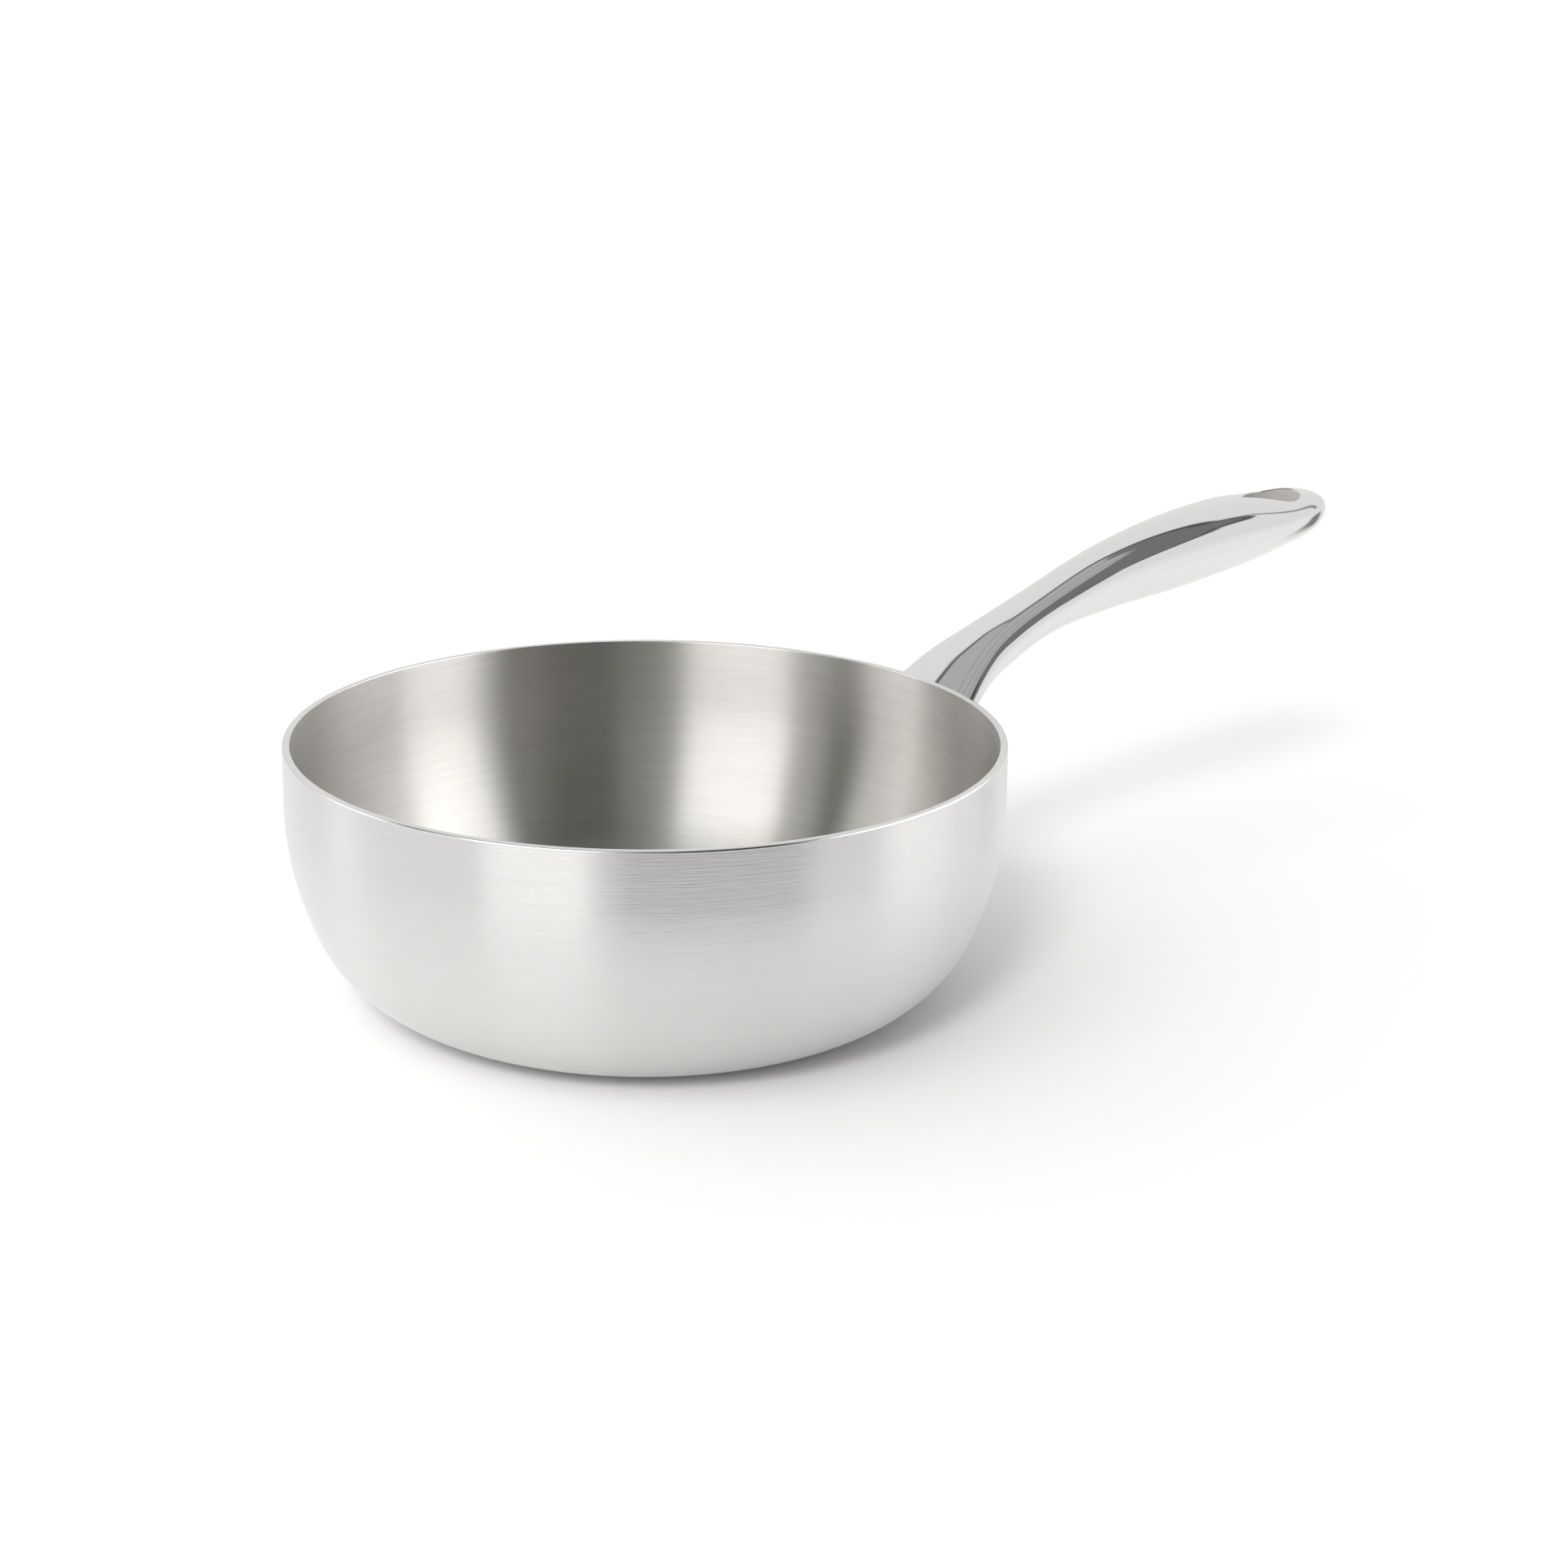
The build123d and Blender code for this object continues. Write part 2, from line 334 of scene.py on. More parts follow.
def handle_tube(size, end_x, inset, rows):
    """The handle's sections from the wall to a place along X, in lines of even steps.

    Along each line x goes evenly from the wall to the end, y is the half width there times the
    line's share of it, and z is the superellipse's height.
    """
    side, above = around()
    start = wall_start(size, inset)[:, 0]
    share = np.linspace(0, 1, rows + 1)[:, None]
    x = start * (1 - share) + end_x * share
    y = side * handle_frame(size, x, inset)[0]
    z = handle_height(size, x, side, above, inset)
    points = np.stack((x, y, z), 2)
    points[0] = wall_start(size, inset)
    return points


def eye_reach(size, direction):
    """From the eye's round centre to its edge, for directions given as angles from +X.

    Round the large circle it is the radius. Along the flank, a tangent to both circles, it is
    the radius over the cosine of the angle from the flank's normal. At the point it is the far
    crossing with the small circle.
    """
    large, small, apart = size.eye_radius, size.eye_point_radius, size.eye_centre_to_point
    from_point = pi - np.abs(direction)
    flank = np.arccos((large - small) / apart)
    nose = np.arctan2(small * np.sin(flank), apart + small * np.cos(flank))
    reach = np.where(from_point > flank, large, large / np.cos(flank - np.minimum(from_point, flank)))
    near = np.minimum(from_point, nose)
    crossing = apart * np.cos(near) + np.sqrt(small**2 - (apart * np.sin(near)) ** 2)
    return np.where(from_point < nose, crossing, reach)


def handle_tip(size):
    """The closed end of the handle with its eye, in one sheet of rays from the eye's centre.

    Each column is a ray seen from above. Its rows run in over the top from the outline to the
    eye, over the eye's rounded edge, down its wall, round its lower edge and out underneath.
    The second value says which gaps between rows are the eye's wall.
    """
    half_side = around()[0][:HALF_STEPS + 1]
    begin = size.tip_x - size.tip_plan_length
    seam = np.stack(
        (np.full_like(half_side, begin), half_side * handle_frame(size, np.array(begin))[0]), 1
    )
    turn = np.linspace(-pi / 2, pi / 2, TIP_STEPS + 1)
    outline_x = size.tip_x - size.tip_plan_length * (1 - np.cos(turn))
    outline = np.stack((outline_x, np.sign(turn) * handle_frame(size, outline_x)[0]), 1)
    edge = np.vstack((seam, outline[1:]))

    centre = np.array((size.tip_x - size.eye_centre_to_tip, 0))
    ray = edge - centre
    far = np.hypot(ray[:, 0], ray[:, 1])
    ray = ray / far[:, None]
    near = eye_reach(size, np.arctan2(ray[:, 1], ray[:, 0]))

    spread = np.sin(np.linspace(pi / 2, 0, TIP_ROWS + 1))[:, None]
    bend = np.linspace(0, pi / 2, ROUNDING_ROWS + 1)[1:, None]
    skirt = near + size.eye_rounding
    reach = np.vstack((skirt + (far - skirt) * spread, near + size.eye_rounding * (1 - np.sin(bend))))
    sink = np.vstack((0 * spread, size.eye_rounding * (1 - np.cos(bend))))

    x = centre[0] + reach * ray[:, 0]
    y = reach * ray[:, 1]
    half = np.maximum(handle_frame(size, x)[0], TOUCHING)
    side = y / half
    side[0] = np.r_[half_side, np.ones(TIP_STEPS)]
    top = np.stack((x, y, handle_height(size, x, side, True) - sink), 2)
    bottom = np.stack((x, y, handle_height(size, x, side, False) + sink), 2)
    share = np.linspace(0, 1, EYE_WALL_ROWS + 1)[1:-1, None, None]
    wall = top[-1] * (1 - share) + bottom[-1] * share
    sheet = np.vstack((top, wall, bottom[::-1]))
    is_wall = np.zeros(len(sheet) - 1, int)
    is_wall[len(top) - 1:len(top) - 1 + EYE_WALL_ROWS] = 1
    return sheet, is_wall


def quads(rows, columns, first):
    """Corner numbers of the faces of a grid whose points are numbered row by row."""
    corner = first + np.arange(rows - 1)[:, None] * columns + np.arange(columns - 1)
    corner = corner.ravel()
    return np.stack((corner, corner + 1, corner + columns + 1, corner + columns), 1)


def make_piece(name, sheets, materials, body, replaced):
    """One object from grids of points, each with its chart and the finish of each row of faces.

    Grids that share an edge are welded along it, and faces are turned outwards.
    """
    points, charts, faces, finishes = [], [], [], []
    first = 0
    for sheet, chart, finish in sheets:
        rows, columns = sheet.shape[:2]
        points.append(sheet.reshape(-1, 3))
        charts.append(chart.reshape(-1, 2))
        faces.append(quads(rows, columns, first))
        finishes.append(np.repeat(np.broadcast_to(finish, rows - 1), columns - 1))
        first += rows * columns
    faces = np.vstack(faces)
    mesh = bpy.data.meshes.new(name)
    mesh.from_pydata(np.vstack(points), [], faces)
    layer = mesh.uv_layers.new(name="chart")
    layer.data.foreach_set("uv", np.vstack(charts)[faces.ravel()].ravel())
    mesh.polygons.foreach_set("material_index", np.concatenate(finishes))
    for material in materials:
        mesh.materials.append(material)

    work = bmesh.new()
    work.from_mesh(mesh)
    bmesh.ops.remove_doubles(work, verts=work.verts, dist=TOUCHING)
    bmesh.ops.recalc_face_normals(work, faces=work.faces)
    work.to_mesh(mesh)
    work.free()
    mesh.shade_smooth()
    mesh.set_sharp_from_angle(angle=SHARP_ANGLE)

    piece = bpy.data.objects.new(name, mesh)
    bpy.context.scene.collection.objects.link(piece)
    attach(piece, body)
    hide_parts(replaced)
    return piece


def flat_chart(sheet):
    """A chart for a surface whose finish doesn't follow it: places along X and Y."""
    return sheet[..., :2]


def add_node(tree, kind, inputs=None, **settings):
    """Add a node with its settings; an input is a value, or another node's output to link."""
    made = tree.nodes.new(kind)
    for name, value in settings.items():
        setattr(made, name, value)
    for name, value in (inputs or {}).items():
        socket = made.inputs[name]
        if isinstance(value, bpy.types.NodeSocket):
            tree.links.new(value, socket)
        else:
            socket.default_value = value
    return made


def new_material(name):
    """A node material with nothing in it yet, and its node tree."""
    material = bpy.data.materials.new(name)
    material.use_nodes = True
    material.node_tree.nodes.clear()
    return material, material.node_tree


def tinted(value, share):
    """A colour scaled by a share, as red, green, blue and alpha."""
    return (*(part * share for part in value), 1.0)


# Most of a noise's values lie between these two, and most sums of two noises between the others
NOISE_SPAN = (0.3, 0.7)
SUM_SPAN = (0.7, 1.3)
# The brushing is drawn twice over: the spacing of its lines in pitches, the streaks in one radius
# of the way round, and how broken up they are
BRUSHINGS = ((1.0, 7.0, 3.0), (4.0, 3.0, 2.0))
BRUSH_GLOSS_SWING = 0.02
# A quarter turn from the way round, so that highlights spread up and down
UP_THE_WALL = 0.25


def brushed_stainless(name, value, roughness, pitch, groove, shade, anisotropy=1.0):
    """Stainless sheet brushed round the bowl on a lathe.

    The brush leaves fine rings. A highlight stays narrow along them and spreads across them, up
    and down the wall: upright bands of light, crossed by hair lines. The groove is the depth of
    the lines, and the shade is how bright the darkest of them are beside the palest. The real
    lines are too fine to show, so they are drawn as far apart as the brush pitch.
    """
    material, tree = new_material(name)
    place = add_node(tree, "ShaderNodeTexCoord")
    flat = add_node(
        tree, "ShaderNodeVectorMath", {0: place.outputs["Object"], 1: (1, 1, 0)}, operation="MULTIPLY"
    )
    ring = add_node(
        tree, "ShaderNodeVectorMath", {0: flat.outputs["Vector"]}, operation="NORMALIZE"
    )
    parts = add_node(tree, "ShaderNodeSeparateXYZ", {0: ring.outputs["Vector"]})
    chart = add_node(tree, "ShaderNodeUVMap", uv_map="chart")
    along = add_node(tree, "ShaderNodeSeparateXYZ", {0: chart.outputs["UV"]})
    noises = []
    for spacing, streaks, detail in BRUSHINGS:
        rows = add_node(
            tree, "ShaderNodeMath", {0: along.outputs["Y"], 1: 1 / (pitch * spacing)},
            operation="MULTIPLY",
        )
        across = add_node(
            tree, "ShaderNodeCombineXYZ",
            {"X": parts.outputs["X"], "Y": parts.outputs["Y"], "Z": rows.outputs[0]},
        )
        stretch = add_node(
            tree, "ShaderNodeVectorMath", {0: across.outputs[0], 1: (streaks, streaks, 1)},
            operation="MULTIPLY",
        )
        noise = add_node(
            tree, "ShaderNodeTexNoise",
            {"Vector": stretch.outputs["Vector"], "Scale": 1.0, "Detail": detail, "Roughness": 0.6},
        )
        noises.append(noise.outputs[0])
    fine, broad = noises
    gloss = add_node(
        tree, "ShaderNodeMapRange",
        {"Value": fine, "From Min": NOISE_SPAN[0], "From Max": NOISE_SPAN[1],
         "To Min": roughness - BRUSH_GLOSS_SWING, "To Max": roughness + BRUSH_GLOSS_SWING},
    )
    both = add_node(tree, "ShaderNodeMath", {0: fine, 1: broad}, operation="ADD")
    share = add_node(
        tree, "ShaderNodeMapRange",
        {"Value": both.outputs[0], "From Min": SUM_SPAN[0], "From Max": SUM_SPAN[1]},
    )
    tone = add_node(
        tree, "ShaderNodeMix",
        {"Factor": share.outputs[0], 6: tinted(value, shade), 7: tinted(value, 1.0)},
        data_type="RGBA",
    )
    lines = add_node(
        tree, "ShaderNodeBump", {"Height": fine, "Strength": 1.0, "Distance": groove}
    )
    way_round = add_node(tree, "ShaderNodeTangent", direction_type="UV_MAP", uv_map="chart")
    shader = add_node(
        tree, "ShaderNodeBsdfPrincipled",
        {
            "Base Color": tone.outputs[2],
            "Metallic": 1.0,
            "Roughness": gloss.outputs[0],
            "Anisotropic": anisotropy,
            "Anisotropic Rotation": UP_THE_WALL,
            "Tangent": way_round.outputs["Tangent"],
            "Normal": lines.outputs["Normal"],
        },
    )
    add_node(tree, "ShaderNodeOutputMaterial", {"Surface": shader.outputs["BSDF"]})
    return material


# Polishing runs along the handle, which draws its waves out along X
POLISH_STRETCH = (0.35, 1.0, 1.0)
# The haze comes and goes over three waves, between these shares of the roughness
HAZE_WAVES = 3
HAZE_SHARES = (0.7, 1.5)


def polished_stainless(name, value, roughness, wave):
    """Cast stainless, ground and then polished on a mop.

    It mirrors what stands round it, and the hand work leaves the mirror faintly wavy and a
    little hazy in places. The wave is the spacing of its waves.
    """
    material, tree = new_material(name)
    place = add_node(tree, "ShaderNodeTexCoord")
    stretch = add_node(
        tree, "ShaderNodeMapping", {"Vector": place.outputs["Object"], "Scale": POLISH_STRETCH}
    )
    swell = add_node(
        tree, "ShaderNodeTexNoise",
        {"Vector": stretch.outputs[0], "Scale": 1 / wave, "Detail": 1.0},
    )
    haze = add_node(
        tree, "ShaderNodeTexNoise",
        {"Vector": stretch.outputs[0], "Scale": 1 / (HAZE_WAVES * wave), "Detail": 3.0},
    )
    gloss = add_node(
        tree, "ShaderNodeMapRange",
        {"Value": haze.outputs[0], "From Min": NOISE_SPAN[0], "From Max": NOISE_SPAN[1],
         "To Min": roughness * HAZE_SHARES[0], "To Max": roughness * HAZE_SHARES[1]},
    )
    tone = add_node(
        tree, "ShaderNodeMix",
        {"Factor": haze.outputs[0], 6: tinted(value, 0.97), 7: tinted(value, 1.0)},
        data_type="RGBA",
    )
    ripple = add_node(
        tree, "ShaderNodeBump", {"Height": swell.outputs[0], "Strength": 0.25, "Distance": 0.1 * MM}
    )
    shader = add_node(
        tree, "ShaderNodeBsdfPrincipled",
        {"Base Color": tone.outputs[2], "Metallic": 1.0, "Roughness": gloss.outputs[0],
         "Normal": ripple.outputs["Normal"]},
    )
    add_node(tree, "ShaderNodeOutputMaterial", {"Surface": shader.outputs["BSDF"]})
    return material


def cast_stainless(name, value, grain):
    """Stainless as it left the mould, blasted clean: matt and finely grained.

    The blasted skin scatters light like a matt grey, so it is only partly metallic. The grain is
    drawn coarser than the real one, so that it shows.
    """
    material, tree = new_material(name)
    place = add_node(tree, "ShaderNodeTexCoord")
    speckle = add_node(
        tree, "ShaderNodeTexNoise",
        {"Vector": place.outputs["Object"], "Scale": 1 / grain, "Detail": 3.0, "Roughness": 0.7},
    )
    tone = add_node(
        tree, "ShaderNodeMix",
        {"Factor": speckle.outputs[0], 6: tinted(value, 0.85), 7: tinted(value, 1.05)},
        data_type="RGBA",
    )
    pits = add_node(
        tree, "ShaderNodeBump", {"Height": speckle.outputs[0], "Strength": 0.5, "Distance": 0.1 * MM}
    )
    shader = add_node(
        tree, "ShaderNodeBsdfPrincipled",
        {"Base Color": tone.outputs[2], "Metallic": 0.35, "Roughness": 0.6,
         "Normal": pits.outputs["Normal"]},
    )
    add_node(tree, "ShaderNodeOutputMaterial", {"Surface": shader.outputs["BSDF"]})
    return material


def rolled_aluminium(name, value):
    """Aluminium sheet as it left the rolls: a soft gloss with fine straight lines in its tone."""
    line_length, line_pitch = 25 * MM, 2 * MM / 3
    material, tree = new_material(name)
    place = add_node(tree, "ShaderNodeTexCoord")
    rolling = add_node(
        tree, "ShaderNodeMapping",
        {"Vector": place.outputs["Object"],
         "Scale": (1 / line_length, 1 / line_pitch, 1 / line_length)},
    )
    grain = add_node(tree, "ShaderNodeTexNoise", {"Vector": rolling.outputs[0], "Scale": 1.0})
    tone = add_node(
        tree, "ShaderNodeMix",
        {"Factor": grain.outputs[0], 6: tinted(value, 0.9), 7: tinted(value, 1.0)},
        data_type="RGBA",
    )
    shader = add_node(
        tree, "ShaderNodeBsdfPrincipled",
        {"Base Color": tone.outputs[2], "Metallic": 1.0, "Roughness": 0.38},
    )
    add_node(tree, "ShaderNodeOutputMaterial", {"Surface": shader.outputs["BSDF"]})
    return material


class SAUCIER_OT_liner(Operator):
    """Make the cooking liner, with its lip turned out over the other plies"""

    bl_idname = "saucier.liner"
    bl_label = "Cooking liner"

    def execute(self, context):
        size, finish = context.scene.saucier_sizes, context.scene.saucier_finish
        top, ply_top = size.bowl_height, size.bowl_height - size.lip_height
        bore = size.rim_radius - size.wall_thickness
        inner, outer = size.lip_inner_rounding, size.lip_outer_rounding
        back = size.wall_thickness - size.liner_thickness
        inside = bowl_outline(size, size.wall_thickness, top - inner)
        lip = chain(
            arc((bore + inner, top - inner), inner, 180, 90, ROUNDING_ROWS),
            straight((bore + inner, top), (size.rim_radius - outer, top), ROUNDING_ROWS),
            arc((size.rim_radius - outer, top - outer), outer, 90, 0, ROUNDING_ROWS),
            straight((size.rim_radius, top - outer), (size.rim_radius, ply_top), LIP_SIDE_ROWS),
        )
        behind = bowl_outline(size, back, ply_top)[::-1]
        profile = np.vstack((chain(inside, lip), behind))
        is_lip = np.zeros(len(profile) - 1, int)
        is_lip[len(inside) - 1:len(inside) + len(lip) - 2] = 1
        materials = (
            brushed_stainless(
                "brushed_18_10_liner", finish.liner_colour, finish.liner_roughness,
                finish.brush_pitch, finish.liner_groove, shade=0.90,
            ),
            brushed_stainless(
                "ground_rim", finish.rim_colour, finish.rim_roughness,
                finish.brush_pitch, finish.rim_groove, shade=0.96, anisotropy=0.4,
            ),
        )
        sheet, chart = revolved(profile)
        make_piece(
            "liner_with_lip", [(sheet, chart, is_lip)], materials, "root",
            "cooking_liner",
        )
        return {"FINISHED"}


class SAUCIER_OT_skin(Operator):
    """Make the outer skin of the bowl"""

    bl_idname = "saucier.skin"
    bl_label = "Induction skin"

    def execute(self, context):
        size, finish = context.scene.saucier_sizes, context.scene.saucier_finish
        ply_top = size.bowl_height - size.lip_height
        outside = bowl_outline(size, 0, ply_top)
        behind = bowl_outline(size, size.skin_thickness, ply_top)[::-1]
        sheet, chart = revolved(np.vstack((outside, behind)))
        material = brushed_stainless(
            "brushed_magnetic_skin", finish.skin_colour, finish.skin_roughness,
            finish.brush_pitch, finish.skin_groove, shade=0.96,
        )
        make_piece(
            "brushed_skin", [(sheet, chart, 0)], (material,), "root", "induction_skin"
        )
        return {"FINISHED"}


class SAUCIER_OT_handle(Operator):
    """Make the hollow cast handle with its hanging eye"""

    bl_idname = "saucier.handle"
    bl_label = "Handle casting"

    def execute(self, context):
        size, finish = context.scene.saucier_sizes, context.scene.saucier_finish
        outside = handle_tube(size, size.tip_x - size.tip_plan_length, 0, TUBE_ROWS)
        tip, is_wall = handle_tip(size)
        nose = size.tip_x - size.solid_end
        hollow = handle_tube(size, nose - size.core_nose, size.casting_wall, TUBE_ROWS // 2)
        side, above = around()
        end = np.full_like(side, nose)
        inset = 2 * size.casting_wall
        narrow = np.stack(
            (end, side * handle_frame(size, end, inset)[0],
             handle_height(size, end, side, above, inset)), 1
        )
        middle = np.zeros_like(narrow) + narrow.mean(0)
        hollow = np.vstack((hollow, narrow[None], middle[None]))
        contact = np.stack((outside[0], hollow[0]))
        sheets = [(sheet, flat_chart(sheet), 0) for sheet in (outside, hollow, contact)]
        sheets.append((tip, flat_chart(tip), is_wall))
        materials = (
            polished_stainless(
                "polished_cast_stainless", finish.handle_colour, finish.handle_roughness,
                finish.polish_wave,
            ),
            cast_stainless("as_cast_stainless", finish.eye_colour, finish.cast_grain),
        )
        make_piece("cast_handle", sheets, materials, "root", "handle_casting")
        return {"FINISHED"}


class SAUCIER_OT_weld(Operator):
    """Make the weld bead round the handle's root"""

    bl_idname = "saucier.weld"
    bl_label = "Root weld"

    def execute(self, context):
        size, finish = context.scene.saucier_sizes, context.scene.saucier_finish
        sink = size.weld_sink
        side, above = around()
        corner = wall_start(size, sink)
        corner[:, 0] -= sink
        on_wall = wall_start(size, -size.weld_leg)
        on_wall[:, 0] -= sink
        x = corner[:, 0] + size.weld_leg
        y = side * handle_frame(size, x, sink)[0]
        on_handle = np.stack((x, y, handle_height(size, x, side, above, sink)), 1)
        share = np.linspace(0, 1, ROUNDING_ROWS + 1)[:, None, None]
        hollow = (1 - share) ** 2 * on_wall + 2 * share * (1 - share) * corner + share**2 * on_handle
        sheet = np.vstack((hollow, corner[None], on_wall[None]))
        material = polished_stainless(
            "blended_weld", finish.handle_colour, finish.weld_roughness, finish.polish_wave
        )
        make_piece(
            "blended_root_weld", [(sheet, flat_chart(sheet), 0)], (material,), "root",
            "root_weld_bead",
        )
        return {"FINISHED"}


class SAUCIER_OT_plies(Operator):
    """Give the plies inside the wall their rolled aluminium"""

    bl_idname = "saucier.plies"
    bl_label = "Inner plies"

    def execute(self, context):
        finish = context.scene.saucier_finish
        material = rolled_aluminium("rolled_aluminium", finish.aluminium_colour)
        for name in ("inner_bond_sheet", "alloy_core", "outer_bond_sheet"):
            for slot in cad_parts[name].material_slots:
                slot.material = material
        return {"FINISHED"}


# The studio as the steel mirrors it. Places round the pan are in degrees from the camera's side,
# to its right, and a fade is where something starts to end or to begin, and where it has.
# Low down there is white card all round but for the open front: how bright it is. The world sends
# this as light. Far out, the floor carries the same as painted reflection for what mirrors it
LOW_CARDS = (
    (-180, 0.85), (-120, 0.72), (-85, 0.80), (-60, 0.92), (-20, 0.92), (-4, 0.06), (48, 0.06),
    (54, 0.95), (100, 0.95), (130, 0.85), (180, 0.85),
)
# Degrees up, over which the low cards end
LOW_FADE = (14, 8)
# Metres from the pan's axis over which the white sheet that it stands on ends, how bright the floor
# is past it, and metres over which that passes into the low cards.
# Past the sheet the floor's colour is a painted reflection of the studio: darker cards, a dark seam
# and a dark front.
# Only what mirrors the floor sees them. To the camera and to matt light the floor stays white
SHEET_FADE = (0.4, 0.6)
FLOOR_CARDS = (
    (-180, 0.85), (-120, 0.72), (-85, 0.80), (-60, 0.92), (-20, 0.92), (-4, 0.06), (67, 0.06),
    (72, 0.97), (112, 0.95), (117, 0.25), (126, 0.25), (130, 0.85), (180, 0.85),
)
FLOOR_FADE = (1.0, 1.5)
# Tall white cards stand at the sides and behind, with a dark seam between two of them: how
# bright they are, and how many degrees up they reach
CARDS = ((-180, 0.88), (114, 0.88), (117, 0.30), (120, 0.30), (123, 0.88), (180, 0.88))
CARD_TOPS = (
    (-180, 60), (-166, 60), (-158, 49), (-118, 40), (-75, 0), (46, 0), (52, 26), (62, 36),
    (86, 49), (110, 51), (122, 58), (180, 60),
)
# Over each card runs a dark edge, and over that the room is dim, up to a grey ceiling
EDGE_TONE = 0.10
DIM_ROOM = (
    (-180, 0.35), (-118, 0.35), (-100, 0.02), (42, 0.02), (58, 0.20), (158, 0.20), (180, 0.35),
)
# How many degrees up the ceiling starts
CEILING_STARTS = (
    (-180, 61), (-160, 49), (-118, 42), (-90, 55), (0, 68), (60, 71), (160, 71), (172, 66),
    (180, 61),
)
# The ceiling has dark rails: how bright it is, over how far a place lies to the handle's left as
# a share of its height
CEILING = (
    (-1.5, 0.10), (-0.7, 0.20), (-0.5, 0.40), (-0.3, 0.48), (-0.27, 0.26), (-0.24, 0.48),
    (-0.1, 0.48), (-0.07, 0.30), (-0.04, 0.50), (0.13, 0.50), (0.16, 0.30), (0.19, 0.50),
    (0.37, 0.50), (0.4, 0.36), (0.43, 0.50), (1.5, 0.50),
)
# The fades at the cards' tops, at their dark edges and where the ceiling starts, as the sine of
# the height over them
CARD_FADE = (0.008, -0.008)
EDGE_FADE = (0.035, 0.02)
CEILING_FADE = (-0.01, 0.01)
# A kind of ray is there or it isn't
ALL_OR_NOTHING = (0, 1)
# By what share of its mean the ambient light is brighter from the camera's left, and darker from
# its right
AMBIENT_SLANT = 0.8
# The two suns: degrees round the pan, degrees up and degrees across
SUNS = {"broad_key": (-35, 45, 48), "small_key": (-16, 38, 13)}
SUN_DISTANCE = 2.0
# Panels that one piece mirrors: the piece, degrees round the pan from and to, degrees up from and
# to, distance from the rim's centre and brightness
PANELS = {
    "liner_key": ("liner_with_lip", -54, -14, 8, 42, 1.2, 3.0),
    "liner_veil": ("liner_with_lip", -74, -8, 8, 60, 1.2, 0.6),
    "liner_middle": ("liner_with_lip", -10, 10, 8, 40, 1.2, 0.4),
    "liner_left": ("liner_with_lip", -110, -84, 6, 34, 1.2, 2.4),
    "liner_right": ("liner_with_lip", 60, 96, 8, 40, 1.2, 2.8),
    "liner_far_right": ("liner_with_lip", 96, 130, 8, 46, 1.2, 1.8),
    "skin_key": ("brushed_skin", -52, -13, 11, 57, 1.3, 3.2),
    "skin_left": ("brushed_skin", -111, -95, 6, 54, 1.0, 2.2),
    "skin_right": ("brushed_skin", 74, 104, 4, 56, 0.75, 1.6),
}
# Half the floor's width, and how far it lies over the pan's base, in metres
FLOOR_REACH = 20.0
FLOOR_LIFT = 0.05 * MM
# The picture's width, where the rim's centre lies in it, from its top left, and the width of the
# camera's sensor in millimetres
FRAME_PIXELS = 1932
AIM_PIXELS = (794.6, 906.2)
SENSOR_WIDTH = 36.0


def grey(level):
    """A grey as red, green, blue and alpha."""
    return (level, level, level, 1.0)


def turn_round(tree, place, to_right, to_camera):
    """Degrees round the pan of a place or direction, from the camera's side and to its right."""
    aside, ahead = (
        add_node(
            tree, "ShaderNodeVectorMath", {0: place, 1: axis}, operation="DOT_PRODUCT"
        ).outputs["Value"]
        for axis in (to_right, to_camera)
    )
    turn = add_node(tree, "ShaderNodeMath", {0: aside, 1: ahead}, operation="ARCTAN2")
    return add_node(tree, "ShaderNodeMath", {0: turn.outputs[0]}, operation="DEGREES").outputs[0]


def levels(tree, value, table):
    """Grey levels at a value, on straight lines between the rows of a table."""
    first, last = table[0][0], table[-1][0]
    share = add_node(
        tree, "ShaderNodeMapRange", {"Value": value, "From Min": first, "From Max": last}
    )
    ramp = add_node(tree, "ShaderNodeValToRGB", {"Fac": share.outputs[0]})
    stops = ramp.color_ramp.elements
    places = [(place - first) / (last - first) for place, _ in table]
    for place in places[1:-1]:
        stops.new(place)
    for stop, place, (_, level) in zip(stops, places, table):
        stop.position = place
        stop.color = grey(level)
    return ramp.outputs["Color"]


def layered(tree, ground, layers):
    """Colours laid over one another, each fading in while a value goes from a start to an end."""
    for value, (start, end), colour_over in layers:
        share = add_node(
            tree, "ShaderNodeMapRange", {"Value": value, "From Min": start, "From Max": end},
            interpolation_type="SMOOTHSTEP",
        )
        ground = add_node(
            tree, "ShaderNodeMix", {"Factor": share.outputs[0], 6: ground, 7: colour_over},
            data_type="RGBA",
        ).outputs[2]
    return ground


def facing(to_right, to_camera, azimuth, elevation):
    """Direction from the pan of what stands at an angle round it and an angle up."""
    away = (to_camera * cos(azimuth) + to_right * sin(azimuth)) * cos(elevation)
    away.z = sin(elevation)
    return away


def stand(data, target, away, distance):
    """A lamp or a camera at a distance from a target, aimed back at it."""
    made = bpy.data.objects.new(data.name, data)
    made.location = target + away * distance
    made.rotation_euler = (-away).to_track_quat("-Z", "Y").to_euler()
    bpy.context.scene.collection.objects.link(made)
    return made


